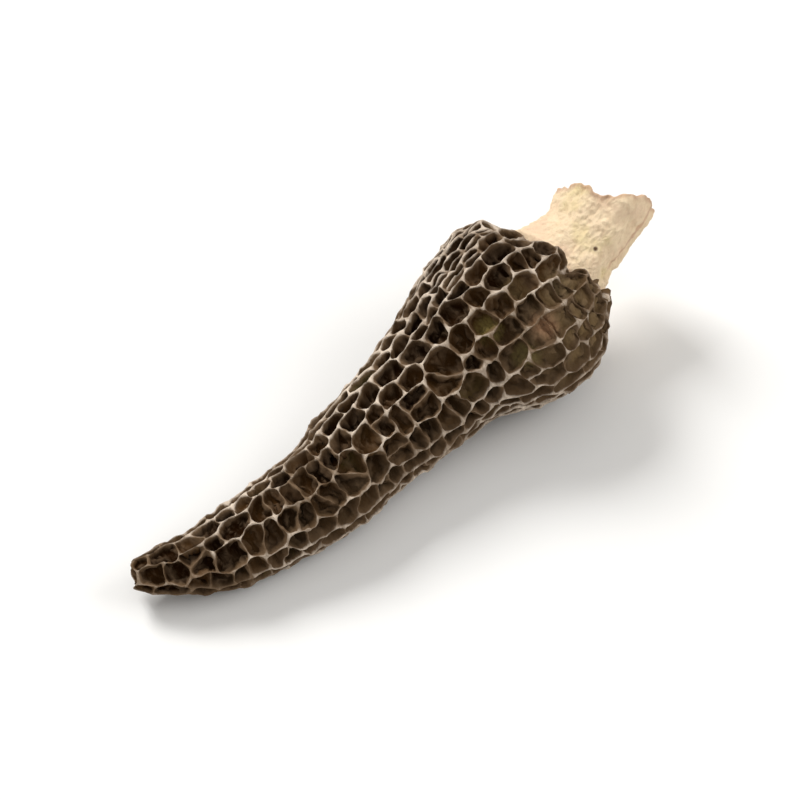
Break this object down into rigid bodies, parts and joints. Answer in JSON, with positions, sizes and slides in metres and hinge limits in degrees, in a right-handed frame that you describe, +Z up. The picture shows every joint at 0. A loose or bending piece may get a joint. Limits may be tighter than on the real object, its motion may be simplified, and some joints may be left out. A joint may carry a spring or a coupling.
{
  "type": "dried morel mushroom",
  "caption": "Dried morel mushroom lying on its side: long dark cap with a raised net of ridges round deep pits, and a short cream stem, hollow at its cut end.",
  "frame": {"origin": "on the surface that the mushroom lies on, under the middle of its box", "axes": "+X along the mushroom, from the cap's tip towards the cut end of the stem; +Y across it; +Z up, away from the surface"},
  "size_m": [0.0824, 0.0248, 0.0239],
  "materials": {
    "dried_cap": "matte",
    "dried_stem": "matte"
  },
  "bodies": {
    "root": {"cap": "dried_cap", "stem": "dried_stem"}
  },
  "joints": []
}
